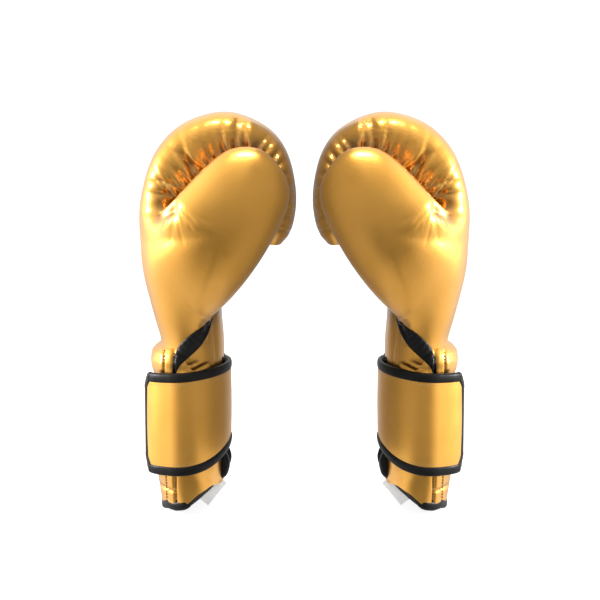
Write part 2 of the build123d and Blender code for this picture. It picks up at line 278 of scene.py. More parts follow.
def leather(name, low, high, metallic, roughness, grain, creases, coat=0.0, specular=0.5):
    """Leather: two tones in soft clouds, with shade painted into its folds, a fine pebble grain and faint
    creases.
    """
    material, tree, shader = nodes_of(name)
    coords = tree.nodes.new("ShaderNodeTexCoord")
    clouds = noise(tree, coords, 22, 4)
    tone = ramp(tree, clouds, "Fac", [(0.35, low), (0.65, high)])
    # Painted shade: the base colour is darkened by a per-point amount stored on the mesh.
    painted_fold_shade = tree.nodes.new("ShaderNodeAttribute")
    painted_fold_shade.attribute_name = "painted_fold_shade"
    darker = tree.nodes.new("ShaderNodeMix")
    darker.data_type = "RGBA"
    link(tree, painted_fold_shade, "Fac", darker, "Factor")
    link(tree, tone, "Color", darker, MIX_A)
    darker.inputs[MIX_B].default_value = PAINTED_SHADE_COLOUR
    link(tree, darker, MIX_RESULT, shader, "Base Color")
    rough = ramp(tree, noise(tree, coords, 60, 5), "Fac",
                 [(0.3, (roughness - 0.04,) * 3), (0.7, (roughness + 0.05,) * 3)])
    link(tree, rough, "Color", shader, "Roughness")
    cells = tree.nodes.new("ShaderNodeTexVoronoi")
    cells.inputs["Scale"].default_value = 950
    link(tree, coords, "Object", cells, "Vector")
    pebble = bump(tree, cells, "Distance", grain, 0.00012)
    folds = bump(tree, noise(tree, coords, 130, 6, 0.6, 0.6), "Fac", creases, 0.0004, pebble)
    link(tree, folds, "Normal", shader, "Normal")
    shader.inputs["Metallic"].default_value = metallic
    shader.inputs["Coat Weight"].default_value = coat
    shader.inputs["Coat Roughness"].default_value = 0.25
    shader.inputs["Specular IOR Level"].default_value = specular
    return material


def cloth(name, low, high, roughness, scale, depth, sheen=0.3):
    """Woven or napped cloth: crossed waves for the threads, and soft tone changes."""
    material, tree, shader = nodes_of(name)
    coords = tree.nodes.new("ShaderNodeTexCoord")
    tone = ramp(tree, noise(tree, coords, 90, 4), "Fac", [(0.3, low), (0.7, high)])
    link(tree, tone, "Color", shader, "Base Color")
    last = None
    for direction in ("X", "Z"):
        wave = tree.nodes.new("ShaderNodeTexWave")
        wave.bands_direction = direction
        wave.inputs["Scale"].default_value = scale
        wave.inputs["Distortion"].default_value = 1.5
        link(tree, coords, "Object", wave, "Vector")
        last = bump(tree, wave, "Fac", 0.6, depth, last)
    link(tree, last, "Normal", shader, "Normal")
    shader.inputs["Roughness"].default_value = roughness
    shader.inputs["Sheen Weight"].default_value = sheen
    return material


GOLD = leather("gold_leather", (0.77, 0.37, 0.05), (0.83, 0.41, 0.066),
               metallic=0.95, roughness=0.33, grain=0.3, creases=0.2, coat=0.55)
STRAP_GOLD = leather("strap_leather", (0.80, 0.39, 0.06), (0.86, 0.43, 0.075),
                     metallic=0.95, roughness=0.33, grain=0.12, creases=0.03, coat=0.35)
BLACK = leather("black_binding", (0.004, 0.004, 0.004), (0.007, 0.007, 0.0065),
                metallic=0.0, roughness=0.36, grain=0.5, creases=0.5, specular=0.16)
LINING = cloth("lining_cloth", (0.012,) * 3, (0.022,) * 3, 0.85, 900, 0.0002, sheen=0.05)
LOOP = cloth("loop_pile", (0.006,) * 3, (0.013,) * 3, 0.95, 1600, 0.0006, sheen=0.03)
HOOK = cloth("hook_pile", (0.01,) * 3, (0.022,) * 3, 0.7, 1100, 0.0008, sheen=0.03)
ELASTIC = cloth("elastic_web", (0.01,) * 3, (0.02,) * 3, 0.8, 500, 0.0004, sheen=0.03)
WHITE = cloth("white_label", (0.78, 0.78, 0.77), (0.85, 0.85, 0.84), 0.7, 1200, 0.0001)
THREAD = cloth("dark_thread", (0.02, 0.014, 0.008), (0.03, 0.02, 0.012), 0.7, 2500, 0.0001)
GOLD_THREAD = cloth("gold_thread", (0.38, 0.22, 0.06), (0.46, 0.27, 0.08), 0.5, 2500, 0.0001)

# ---------------------------------------------------------------- fist and thumb, as distance fields

VOXEL = 1.3
LOW, HIGH = np.array([-48, -96, 110]), np.array([92, 80, 320])  # the box that holds the fist and thumb
GRID_LOW, GRID_HIGH = np.floor(LOW / VOXEL).astype(int), np.ceil(HIGH / VOXEL).astype(int)
BAND = 36.0  # distances are measured up to this far from a surface
SHARP_BLEND, SOFT_BLEND = 2.0, 15  # how wide the thumb's join is in the crease, and what melting adds

# How square the fist's section is, as superellipse powers at shares of the way to the finger tips.
THUMB_SIDE_POWER = ([0, 0.33, 0.5, 0.8, 1], [2.1, 2.2, 4.8, 4.8, 3.4])
FINGER_SIDE_POWER = ([0, 0.15, 0.4, 0.8, 1], [2.1, 2.3, 3.0, 3.0, 2.6])


def fist_rows(rows, ring, inset=0.0, use_pads=False):
    """Rings of points round the fist, or with use_pads round the hollow inside its padding."""
    table = [[*s[0], *s[1], *s[2:]] for s in FIST]
    out = []
    for index, (ox, oz, ix, iz, width, centre, *pads) in enumerate(resample(table, rows)):
        share = index / rows
        outer, inner = np.array([ox, 0, oz]), np.array([ix, 0, iz])
        d = (outer - inner) / np.linalg.norm(outer - inner)
        back, palm, side = np.array(pads) * use_pads + inset
        outer, inner, width = outer - d * back, inner + d * palm, width - side
        middle, half = (outer + inner) / 2 + (0, centre, 0), np.linalg.norm(outer - inner) / 2
        a = np.linspace(0, 2 * np.pi, ring, endpoint=False)
        powers = [np.interp(share, *side_power) for side_power in (THUMB_SIDE_POWER, FINGER_SIDE_POWER)]
        u, v = superellipse(a, np.where(np.cos(a) < 0, *powers))
        out.append(middle + np.outer(u * width, (0, 1, 0)) + np.outer(v * half, d))
    return np.array(out)


def thumb_rows():
    """Rings of the thumb, from its flat back to its crowned front. Its root leans back into the glove."""
    outline = resample(THUMB_OUTLINE, 96, closed=True)
    lean = (1 - smoothstep(-22, 16, outline[:, 0])) * (1 - smoothstep(212, 250, outline[:, 1]))
    out = []
    for phi in np.radians(np.linspace(-88, 88, 45)):
        scale = (math.cos(phi) ** (0.72 + 0.26 * lean))[:, None]
        flat = np.array(THUMB_CENTRE) + (outline - THUMB_CENTRE) * scale
        bend = ROOT_BEND * np.clip((BEND_TOP - flat[:, 1]) / BEND_HEIGHT, 0, 1) ** 2.2
        crown = THUMB_FRONT if phi > 0 else THUMB_BACK
        rise = abs(math.sin(phi)) ** 0.95
        edge = THUMB_EDGE + (40 + 0.2 * bend) * lean + bend * (1 - lean)
        y = edge * (1 - rise) + (crown + bend) * rise
        out.append(np.stack([flat[:, 0], y, flat[:, 1]], 1))
    return np.array(out)


def distance(rows):
    """The signed distance to a tube, as an array on the common grid."""
    verts, faces = tube(rows)
    quads = np.array([f for f in faces if len(f) == 4], np.uint32)
    tris = np.array([f for f in faces if len(f) == 3], np.uint32)
    grid = vdb.FloatGrid.createLevelSetFromPolygons(
        verts.astype(np.float32), triangles=tris, quads=quads,
        transform=vdb.createLinearTransform(voxelSize=VOXEL), halfWidth=BAND / VOXEL,
    )
    values = np.zeros(tuple(GRID_HIGH - GRID_LOW), np.float32)
    grid.copyToArray(values, ijk=tuple(int(v) for v in GRID_LOW))
    return values


def sample(values, points):
    """Trilinear reading of a grid array at points."""
    p = points / VOXEL - GRID_LOW
    base = np.clip(np.floor(p).astype(int), 0, np.array(values.shape) - 2)
    f = p - base
    total = np.zeros(len(points))
    for corner in range(8):
        offset = np.array([corner >> 2 & 1, corner >> 1 & 1, corner & 1])
        weight = np.prod(np.where(offset, f, 1 - f), axis=1)
        index = base + offset
        total += weight * values[index[:, 0], index[:, 1], index[:, 2]]
    return total


def melting(x, z):
    """1 where the thumb melts into the glove, low down and towards the back, and 0 where it has a crease."""
    across = x - 14 * (1 - smoothstep(150, 185, z)) + 13 * smoothstep(212, 238, z)
    return (1 - smoothstep(-5, 13, across)) * (1 - smoothstep(230, 252, z))


def melt_together(fist, thumb):
    """The smooth union of the two distance arrays."""
    axes = [(GRID_LOW[k] + np.arange(fist.shape[k])) * VOXEL for k in range(3)]
    x, _, z = np.meshgrid(*axes, indexing="ij")
    width = SHARP_BLEND + SOFT_BLEND * melting(x, z)
    h = np.clip(0.5 + 0.5 * (fist - thumb) / width, 0, 1)
    return fist + (thumb - fist) * h - width * h * (1 - h)


def surface_of(values):
    """The surface of a distance array, as smoothed points and quads."""
    grid = vdb.FloatGrid(BAND)
    grid.transform = vdb.createLinearTransform(voxelSize=VOXEL)
    grid.copyFromArray(np.ascontiguousarray(values.astype(np.float32)), ijk=tuple(int(v) for v in GRID_LOW))
    points, _, quads = grid.convertToPolygons(0.0, 0.0)
    quads = quads.astype(int)
    return relax(points.astype(float), quads, 6), quads


thumb = distance(thumb_rows())
pocket = distance(fist_rows(70, 64, use_pads=True))
skin, quads = surface_of(np.maximum(melt_together(distance(fist_rows(90, 96)), thumb), -pocket))

# ---------------------------------------------------------------- puckers, creases and seams of the skin

NO_SEAM, FAR = -999.0, 99.0  # the seam place and the seam distance of points that aren't near the thumb

# Grooves on the thumb side, each as start and end in (x, z), depth, width and the length of its fade.
VALLEYS = [
    ((-4, 248), (-13, 231), 1.2, 2.0, 8),
    ((-8, 243), (-31, 226), 4.0, 7.0, 14),
    ((-10, 250), (-33, 250), 1.8, 2.4, 12),
    ((-9, 257), (-33, 264), 1.8, 2.2, 12),
]  # the soft valleys that run on from the end of the crease
PALM_FOLDS = [
    ((-8, 113), (12, 124), 1.6, 1.7, 7),
    ((-6, 111), (20, 121), 1.8, 1.7, 7),
    ((-6, 109), (22, 113), 1.5, 1.7, 7),
    ((0, 107), (24, 107), 1.2, 1.7, 7),
    ((4, 128), (20, 139), 0.9, 1.7, 7),
]  # folds of the palm's leather beside the black leaf
SLIT_SEAMS = [((x, 104), (x - 2, 158), 0.9, 0.9, 4) for x in (19.5, 23.0)]


def groove(points, start, end, depth, width, reach):
    """A soft valley along a line in side view, fading at its ends."""
    a, b = np.array(start, float), np.array(end, float)
    d = (b - a) / np.linalg.norm(b - a)
    q = points[:, [0, 2]] - a
    along, across = q @ d, q @ np.array([-d[1], d[0]])
    length = np.linalg.norm(b - a)
    fade = smoothstep(-reach * 0.4, reach * 0.3, along) * (1 - smoothstep(length - reach, length, along))
    return -depth * fade * np.exp(-np.abs(across) ** 1.5 / width**1.5)


normals = vertex_normals(skin, quads)
if np.mean((skin - skin.mean(0)) * normals) < 0:
    normals = -normals
    quads = quads[:, ::-1]
to_thumb = sample(thumb, skin)
outside = smoothstep(1.5, 4.0, sample(pocket, skin))  # 0 in the hand's hollow
thumb_face = outside * smoothstep(0.05, 0.5, -normals[:, 1])  # 1 where the skin faces the thumb side
creased = 1 - melting(skin[:, 0], skin[:, 2])

# The seam behind the thumb, and for each point of the skin near it: where along it, and how far off.
seam_line = resample(THUMB_OUTLINE, 400, closed=True)
along_seam = np.arange(len(seam_line)) * np.linalg.norm(seam_line[1] - seam_line[0])
seam_length = along_seam[-1] + along_seam[1]
near = np.where((to_thumb > -1) & (to_thumb < 45) & (normals[:, 1] < 0.2) & (skin[:, 1] < 20))[0]
gap = np.linalg.norm(skin[near][:, None, [0, 2]] - seam_line[None], axis=2)
seam_at, from_seam = np.full(len(skin), NO_SEAM), np.full(len(skin), FAR)
seam_at[near], from_seam[near] = along_seam[gap.argmin(axis=1)], gap.min(axis=1)


def place_on_seam(point):
    return along_seam[np.argmin(np.linalg.norm(seam_line - point, axis=1))]


def gather_folds(rng):
    """The folds that are drawn in to the seam: place along it, slant, depth and reach of each."""
    folds, at = [], place_on_seam(CREASE_END) - 2
    while at < along_seam[-1] + place_on_seam(GATHER_END):
        folds.append((at, rng.uniform(-0.45, 0.1), rng.uniform(0.6, 1.15), rng.uniform(19, 33)))
        at += rng.uniform(6.0, 10.5)
    return folds


def gathered(folds):
    """How far the fist's side moves: in along the seam, and in and out across each fold."""
    on_fist = smoothstep(0.8, 2.4, to_thumb) * thumb_face * creased
    move = -5.0 * np.exp(-((to_thumb / 15.0) ** 2)) * on_fist * (seam_at > NO_SEAM)
    for at, slant, depth, reach in folds:
        away = (seam_at - at + seam_length / 2) % seam_length - seam_length / 2 + slant * from_seam
        fade = np.exp(-((from_seam / reach) ** 2.4)) * on_fist
        open_out = 1.0 + from_seam / 24
        move -= 2.7 * depth * np.exp(-(np.abs(away) / (1.8 * open_out)) ** 1.3) * fade
        move += 1.3 * depth * np.exp(-(((away - 3.9) / (2.5 * open_out)) ** 2)) * fade
    return move


def crease_wrinkles(rng):
    """Grooves for the fine wrinkles that fan out from the end of the crease."""
    for k in range(9):
        direction = math.radians(-118 + 11 * k + rng.uniform(-3, 3))
        length = rng.uniform(14, 34)
        start = (CREASE_END[0] + 3 * math.cos(direction), CREASE_END[1] + 3 * math.sin(direction))
        end = (start[0] + length * math.cos(direction), start[1] + length * math.sin(direction))
        yield start, end, rng.uniform(0.3, 0.75), rng.uniform(0.9, 1.5), 8


def finger_puckers(rng):
    """Grooves for the small puckers round the end of the curled fingers."""
    for k in range(7):
        z = 219 + 6.2 * k + rng.uniform(-1, 1)
        yield (70, z + 2), (88, z - 2), rng.uniform(0.7, 1.6), 1.6, 6


rng = random.Random(11)
move = gathered(gather_folds(rng))
for line in (*VALLEYS, *crease_wrinkles(rng), *PALM_FOLDS, *SLIT_SEAMS):
    move += thumb_face * groove(skin, *line)
finger_end = smoothstep(66, 74, skin[:, 0]) * smoothstep(10, -10, skin[:, 1])
finger_side = outside * smoothstep(2, 5, to_thumb) * finger_end
for line in finger_puckers(rng):
    move += finger_side * groove(skin, *line)
skin = skin + normals * move[:, None]

# Painted shade: how dark the leather's colour is painted in the folds, and in the shadow along the seam.
shade = 0.7 * np.clip((-move - 1.0) / 4.0, 0, 1) * outside
seam_shadow = 0.8 * np.exp(-((from_seam / 8.5) ** 2)) * (1 - smoothstep(56, 68, skin[:, 0]))
shade = np.maximum(shade, seam_shadow * outside * creased * (to_thumb > 0.4) * (seam_at > NO_SEAM))

# ---------------------------------------------------------------- the cuff

# z, centre in X, and half sizes in X and Y
CUFF = [(-3, 2.5, 24.5, 39), (35, 0, 27, 42.5), (108, -0.8, 27.5, 43), (114, -1.5, 28.7, 43.6),
        (121, -2.2, 29.0, 44.0), (127, -1.8, 28.0, 43.0), (131, -0.8, 25.4, 41.4), (133.5, 0.0, 22.0, 39.0)]
CUFF_TOP = 133.0
WALL = 6.6
RIM = [(-60, 0), (-10, 0), (-4, 1.5), (2, 5), (12, 12.5), (24, 19.5), (34, 24)]  # x, z of the slanted rim
RIM_LIFT = 4.5  # how far the rim rises on the thumb side
SLIT = [(-5, 13), (40, 10.5), (110, 7), (146, 3.5)]  # z, and half the width of the slit on the palm side
SEAMS = (-17.5, -9.2)  # the two upright seams on the thumb side of the cuff


def cuff_size(z):
    """Centre in X, and half sizes in X and Y, of the cuff at heights z."""
    table = np.array(CUFF, float)
    return [np.interp(z, table[:, 0], table[:, k]) for k in (1, 2, 3)]


def rim_height(x):
    return np.interp(x, *zip(*RIM))


def lifted_rim(x, y):
    return rim_height(x) + RIM_LIFT * smoothstep(-5, -30, y)


def tucked_at(x, y):
    """1 where the rim's binding is tucked under the leather, on the thumb side towards the palm, or 0."""
    return smoothstep(-3, 4, x) * smoothstep(0, -12, y)


def cuff_point(t, z, offset=0.0):
    """A point on the cuff, offset outwards. Angle t is 0 at the palm and -90 degrees at the thumb."""
    centre, a, b = cuff_size(z)
    return np.stack([centre + (a + offset) * np.cos(t), (b + offset) * np.sin(t), z * np.ones_like(t)], -1)


def slit_angle(z):
    return np.arcsin(np.clip(np.interp(z, *zip(*SLIT)) / cuff_size(z)[2], 0, 1))


def cuff_relief(t, z):
    """How far the cuff's leather stands out at angles t and heights z."""
    x, y, _ = cuff_point(t, z).T
    thumb_side = smoothstep(-20, -36, y)
    change = np.zeros(len(z))
    for seam in SEAMS:
        change -= 1.5 * np.exp(-(((x - seam) / 0.9) ** 2)) * thumb_side
    change += 0.8 * (smoothstep(-17.5, -15, x) * (1 - smoothstep(-12, -9.5, x)) * thumb_side)
    change -= 1.3 * np.exp(-(((z - 21) / 1.2) ** 2)) * smoothstep(-8, -16, y) * (1 - smoothstep(-10, -9, x))
    # folds of the palm panel, fanning out from the foot of the black leaf
    fan = np.degrees(np.arctan2(z - 108, x + 8))
    palm_side = thumb_side * smoothstep(0, 8, x) * smoothstep(106, 114, z)
    change += 1.1 * palm_side * np.sin(np.radians(fan * 11)) * np.exp(-(((fan - 28) / 26) ** 2))
    # soft rolls above the strap, where the padding is squeezed
    roll = np.exp(-(((z - 117) / 5) ** 2))
    change += roll * (0.9 * np.sin(5 * t + 1.3) + 0.6 * np.sin(11 * t)) * 0.8
    change -= 4.0 * smoothstep(-8, 3, x) * smoothstep(112, 117, z) * smoothstep(10, -10, y)
    change += 0.35 * np.sin(7 * t + z * 0.11) * (1 - smoothstep(28, 36, z))
    return change


def cuff_skin():
    """The cuff's padded wall, as rings of points from one edge of the slit round to the other."""
    centre, half_x, half_y = cuff_size(60)
    rings = []
    for u in np.linspace(0, 1, 220):
        x, y = centre + half_x * math.cos(2 * math.pi * u), -half_y * math.sin(2 * math.pi * u)
        bottom = lifted_rim(x, y) + 3.0 - 1.5 * tucked_at(x, y)
        z = bottom + (CUFF_TOP - bottom) * np.linspace(0, 1, 110)
        t = -slit_angle(z) - (2 * math.pi - 2 * slit_angle(z)) * u
        outer = cuff_point(t, z, cuff_relief(t, z))
        inner = cuff_point(t[::-1], z[::-1], -WALL + 0.6)
        rings.append(np.vstack([outer, inner]))
    return tube(rings)


def sweep(path, outward, up_half, out_half):
    """A padded strip swept along a path. outward gives the direction of its thickness at each point."""
    path, outward = np.asarray(path, float), np.asarray(outward, float)
    tangent = np.gradient(path, axis=0)
    tangent /= np.linalg.norm(tangent, axis=1, keepdims=True)
    outward = outward - tangent * np.sum(outward * tangent, 1, keepdims=True)
    outward /= np.linalg.norm(outward, axis=1, keepdims=True)
    across = np.cross(tangent, outward)
    u, v = superellipse(np.linspace(0, 2 * np.pi, 20, endpoint=False), 2.6)
    return tube(path[:, None] + (up_half * u[None, :, None] * across[:, None]
                                 + out_half * v[None, :, None] * outward[:, None]))


def slit_edge(z, sign):
    """The middle of the bound edge at heights z on one side of the slit, flared over the strap's foot."""
    flare = 5.0 * np.exp(-(((z - 37) / 9) ** 2))
    return cuff_point(sign * (slit_angle(z) + 0.06), z, -WALL / 2 + flare)


def rim_path():
    """The middle of the bound edge: down one side of the slit, round the rim, and up the other side."""
    corner = slit_angle(24.0) + 0.16
    t = np.linspace(corner, 2 * math.pi - corner, 90)
    x, y = 1.0 + 23 * np.cos(t), 40 * np.sin(t)
    tucked = tucked_at(x, y)
    round_rim = cuff_point(t, lifted_rim(x, y) + 4.0 + 2.5 * tucked, -WALL / 2 - 3.4 * tucked)
    down, up = np.linspace(121, 30, 26), np.linspace(30, 121, 26)
    return resample(np.vstack([slit_edge(down, 1), round_rim, slit_edge(up, -1)]), 420)


# ---------------------------------------------------------------- the strap

STRAP_CENTRE, STRAP_X, STRAP_Y = -0.8, 27.5, 43.0  # the strap's ellipse: centre in X, and half sizes
STRAP_TOP = [(-60, 111.5), (-30, 112.5), (0, 115), (30, 118.5), (60, 121)]
STRAP_FOOT = [(-60, 33), (-10, 34.5), (8, 37), (20, 42), (28, 49), (33, 57), (60, 63)]
BIND = 3.9  # half the height of the strap's binding
END_LIFT = 3.8  # how far the strap's free end stands off the wrist
# Ellipse angles of the strap: sewn edge, middle of the wing (where the modelled pieces meet) and free edge.
SEWN, MIDDLE, FREE = 40.0, -72.0, -150.0


def outward_at(path):
    """The direction away from the wrist's axis at each point of a path."""
    out = path * (1 / 27.0**2, 1 / 43.0**2, 0)
    return out / np.linalg.norm(out, axis=1, keepdims=True)


def end_lift(t):
    return END_LIFT * smoothstep(math.radians(-112), math.radians(-150), t)


def strap_x(t):
    """X of the strap's outer face at ellipse angles t, which sets the heights of its edges."""
    return STRAP_CENTRE + 30 * np.cos(t)


def strap_point(t, z, offset):
    x, y = STRAP_CENTRE + (STRAP_X + offset) * np.cos(t), (STRAP_Y + offset) * np.sin(t)
    return np.stack([x, y, z], -1)


def strap_top(x):
    return np.interp(x, *zip(*STRAP_TOP))


def strap_foot(x):
    return np.interp(x, *np.array(resample(STRAP_FOOT, 60)).T)


def layer(inner_offset, outer_offset, start, end, low, high, columns=80, rows=40, crown=0.0, lifted=False):
    """A thin curved panel on the strap's ellipse, between two angles and two heights (functions of x)."""
    rings = []
    for t in np.radians(np.linspace(start, end, columns)):
        share = np.linspace(0, 1, rows)
        x = strap_x(t)
        z = low(x) + (high(x) - low(x)) * share
        bulge = crown * np.sin(math.pi * share)
        lift = end_lift(t) if lifted else 0.0
        outer = strap_point(np.full(rows, t), z, outer_offset + bulge + lift)
        inner = strap_point(np.full(rows, t), z, inner_offset + bulge * 0.5 + lift)[::-1]
        rings.append(np.vstack([outer, inner]))
    return tube(rings)


def strap_panel(inner_offset, outer_offset, start, end, margin, **shape):
    """A layer as tall as the strap, less a margin at its top and foot."""
    def low(x):
        return strap_foot(x) + margin

    def high(x):
        return strap_top(x) - margin

    return layer(inner_offset, outer_offset, start, end, low, high, **shape)


def flat_panel(inner_offset, outer_offset, start, end, low, high, **shape):
    """A layer between two level edges."""
    return layer(inner_offset, outer_offset, start, end, lambda x: low, lambda x: high, **shape)


def strap_edges(start, end, turn=False):
    """The paths of the strap's binding: its two edges, joined round the free end if turn is set."""
    angles = np.radians(np.linspace(start, end + (4.0 if turn else 0.0), 90))
    x = strap_x(angles)
    top = strap_point(angles, strap_top(x) - BIND, 4.0 + end_lift(angles))
    foot = strap_point(angles, strap_foot(x) + BIND, 4.0 + end_lift(angles))
    if not turn:
        return [top, foot]
    edge = math.radians(end)
    x_end = strap_x(edge)
    z = np.linspace(strap_top(x_end) - BIND - 7, strap_foot(x_end) + BIND + 9, 30)
    down = strap_point(np.full(30, edge), z, 4.0 + end_lift(edge))
    return [resample(np.vstack([top[:-3], down, foot[:-3][::-1]]), 360)]


def bound(paths):
    return merge([sweep(p, outward_at(p), BIND, 2.0) for p in paths])


# ---------------------------------------------------------------- stitches


def stitches(points, outward, spacing=2.6, length=1.9, radius=0.32):
    """Short stitches along a path, as small rounded rods."""
    path = np.asarray(points, float)
    steps = np.linalg.norm(np.diff(path, axis=0), axis=1)
    total = np.concatenate([[0], np.cumsum(steps)])
    verts, faces = [], []
    for at in np.arange(spacing / 2, total[-1], spacing):
        ends = [np.array([np.interp(at + s * length / 2, total, path[:, k]) for k in range(3)])
                for s in (-1, -0.5, 0.5, 1)]
        out = np.array([np.interp(at, total, outward[:, k]) for k in range(3)])
        tangent = ends[-1] - ends[0]
        tangent /= max(np.linalg.norm(tangent), 1e-6)
        side = np.cross(tangent, out)
        side /= max(np.linalg.norm(side), 1e-6)
        up = np.cross(side, tangent)
        rows = []
        for end, r in zip(ends, (0.35, 1.0, 1.0, 0.35)):
            a = np.linspace(0, 2 * np.pi, 6, endpoint=False)
            rows.append(end + radius * r * (np.outer(np.cos(a), side) + np.outer(np.sin(a), up)))
        v, f = tube(rows)
        faces += [[i + len(verts) for i in face] for face in f]
        verts += list(v)
    return np.array(verts), faces


def strap_stitches(start, end):
    """Two rows of stitches along the strap, just inside its binding."""
    angles = np.radians(np.linspace(start, end, 80))
    x = strap_x(angles)
    lines = [strap_point(angles, strap_top(x) - 2 * BIND - 1.2, 5.3 + end_lift(angles)),
             strap_point(angles, strap_foot(x) + 2 * BIND + 1.2, 5.3 + end_lift(angles))]
    return merge([stitches(p, outward_at(p), 2.8, 2.0, 0.22) for p in lines])


# ---------------------------------------------------------------- the meshes, each made once

cuff_mesh = cuff_skin()
rim = rim_path()
rim_mesh = sweep(rim, outward_at(rim), 4.2, 4.1)
front_a, front_b = (strap_panel(4.0, 5.2, start, end, BIND, columns=120, crown=0.5, lifted=True)
                    for start, end in ((SEWN, MIDDLE), (MIDDLE, FREE)))
bind_a, bind_b = bound(strap_edges(SEWN, MIDDLE)), bound(strap_edges(MIDDLE, FREE, turn=True))
thread_mesh_a, thread_mesh_b = strap_stitches(SEWN - 4, MIDDLE), strap_stitches(MIDDLE, FREE + 9)
hook_mesh = strap_panel(2.0, 3.8, -118, -146, 5, lifted=True)
core_mesh = strap_panel(2.6, 3.9, 38, -114, 5, columns=120)
loop_mesh = flat_panel(0.2, 1.5, -112, -222, 44, 104)
patch_mesh = flat_panel(1.5, 2.4, -157, -204, 50, 92, crown=0.2)
border_mesh = flat_panel(1.5, 2.0, -154, -207, 47, 95)

hull = BVHTree.FromPolygons([*map(tuple, skin), *map(tuple, cuff_mesh[0])],
                            [*map(list, quads), *([v + len(skin) for v in f] for f in cuff_mesh[1])])


def front_of(x, z, off=0.0):
    """The point of the glove's thumb side at x and z, held off its surface."""
    place = hull.ray_cast(Vector((x, -200, z)), Vector((0, 1, 0)))[0]
    return np.array([x, (place.y if place else -44.0) - off, z])


def elastic_web():
    """The elastic across the slit, from one bound edge to the other."""
    rows = []
    for z in np.linspace(27, 120, 60):
        t = np.linspace(-slit_angle(z), slit_angle(z), 20) * 1.02
        outer, inner = cuff_point(t, np.full(20, z), -2.2), cuff_point(t[::-1], np.full(20, z), -3.6)
        rows.append(np.vstack([outer, inner]))
    return tube(rows)


# The two edges of the black leaf, (x, z), from its foot at the strap to its point.
LEAF_LEFT = [(-10.5, 112), (-10.2, 120), (-8.4, 128), (-5.2, 135), (3.2, 143), (12.4, 149), (19, 153.5)]
LEAF_RIGHT = [(-8.5, 112), (-5, 119), (3, 126.5), (9, 132), (13, 137), (17, 144), (19.6, 153)]


def leaf():
    """The black leaf, laid on the glove's surface, crowned and faintly creased above the strap."""
    share = np.linspace(0, 1, 16)
    rows = []
    for start, end in zip(resample(LEAF_LEFT, 48), resample(LEAF_RIGHT, 48)):
        flat = start + (end - start) * share[:, None]
        on_skin = np.array([front_of(x, z) for x, z in flat])
        on_skin[:, 1] = np.minimum(on_skin[:, 1], on_skin[:, 1].mean() + 2.0)
        clear = smoothstep(113, 121, flat[:, 1])
        wave = np.sin(math.pi * share) * np.sin(flat[:, 1] * 0.9 + flat[:, 0])
        rise = 1.6 * np.sin(math.pi * share) ** 0.5 + 0.7 * wave
        raised = on_skin - np.outer(rise * clear + 0.4, (0, 1, 0))
        rows.append(np.vstack([raised, on_skin[::-1] + (0, 2.5, 0)]))
    return tube(rows)


def lining_sock():
    """The lining as one sleeve, up inside the cuff and on round the hand's hollow."""
    t = np.linspace(0, 2 * np.pi, 96, endpoint=False)
    sleeve = []
    for z in np.linspace(6, 119, 40):
        centre, a, b = cuff_size(min(z, 108.0))
        floor_z = rim_height(cuff_point(t, np.full(96, z), -WALL)[:, 0]) + 4
        x, y = centre + (a - WALL - 0.1) * np.cos(t), (b - WALL - 0.1) * np.sin(t)
        sleeve.append(np.stack([x, y, np.maximum(z, floor_z)], 1))
    hollow = fist_rows(60, 96, inset=0.7, use_pads=True)[4:]
    # each ring of the hollow starts at the palm, as the cuff's rings do, and runs the same way round
    first = hollow[0]
    at_palm = int(np.argmin(np.abs(np.arctan2(first[:, 1], first[:, 0] - first[:, 0].mean()))))
    hollow = np.roll(hollow, -at_palm, axis=1)
    if np.cross(hollow[0][1] - hollow[0][0], hollow[0][2] - hollow[0][0])[2] < 0:
        hollow = np.concatenate([hollow[:, :1], hollow[:, :0:-1]], axis=1)
    return tube([*sleeve, *hollow], cap=False)


def seam_stitches():
    """Stitches on the two upright seams, below and above the strap."""
    rows = []
    for seam in SEAMS:
        for low, high in ((12, 34), (112, 130)):
            path = np.array([front_of(seam, z, 0.1) for z in np.linspace(low, high, 20)])
            rows.append(stitches(path, np.tile((0, -1.0, 0), (len(path), 1))))
    return merge(rows)


TAG_LENGTH, TAG_WIDTH, TAG_TURN = 24, 14, math.radians(50)
TAG_CENTRE = (16.2, -15, 17.4)


def tag():
    """The care tag, turned, with a slight wave."""
    rows = []
    for share in np.linspace(0, 1, 20):
        along = TAG_LENGTH * (share - 0.5)
        across = np.linspace(-TAG_WIDTH / 2, TAG_WIDTH / 2, 12)
        x = TAG_CENTRE[0] + along * math.cos(TAG_TURN) - across * math.sin(TAG_TURN)
        y = TAG_CENTRE[1] - 0.8 * np.sin(across * 0.3 + share * 3)
        z = TAG_CENTRE[2] + along * math.sin(TAG_TURN) + across * math.cos(TAG_TURN)
        rows.append(np.stack([x, y, z], 1))
    return np.vstack(rows), [list(f) for f in grid_faces(20, 12)]


elastic_mesh, leaf_mesh, lining_mesh = elastic_web(), leaf(), lining_sock()
seam_mesh, tag_mesh = seam_stitches(), tag()

# ---------------------------------------------------------------- the pieces of each glove


def n(side, *names):
    return [f"{side}_{x}" for x in names]


def add_fist(side):
    glove = make("glove_skin", skin, quads.tolist(), side, GOLD, sharp=0)
    # The painted shade of the folds and the seam, stored per point for the leather's colour.
    painted_fold_shade = glove.data.attributes.new("painted_fold_shade", "FLOAT", "POINT")
    painted_fold_shade.data.foreach_set("value", shade.astype(np.float32))
    fist_nodes = n(side, "back_shell", "palm_shell", "knuckle_foam", "palm_foam")
    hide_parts(*fist_nodes, *n(side, "thumb_shell", "thumb_foam"))
    world(side, 10, -45, 170)
    world(side, 10, -60, 170)
    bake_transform(glove)


def add_cuff(side):
    cuff = make("cuff_skin", *cuff_mesh, side, GOLD, body="glove")
    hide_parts(*n(side, "cuff_leather", "cuff_foam", "side_panels"))

    edge = make("edge_binding", *rim_mesh, side, BLACK, body="glove")
    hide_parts(*n(side, "rim_binding", "slit_binding"))

    gusset = make("leaf_gusset", *leaf_mesh, side, BLACK, body="glove")
    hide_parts(*n(side, "palm_gusset"))


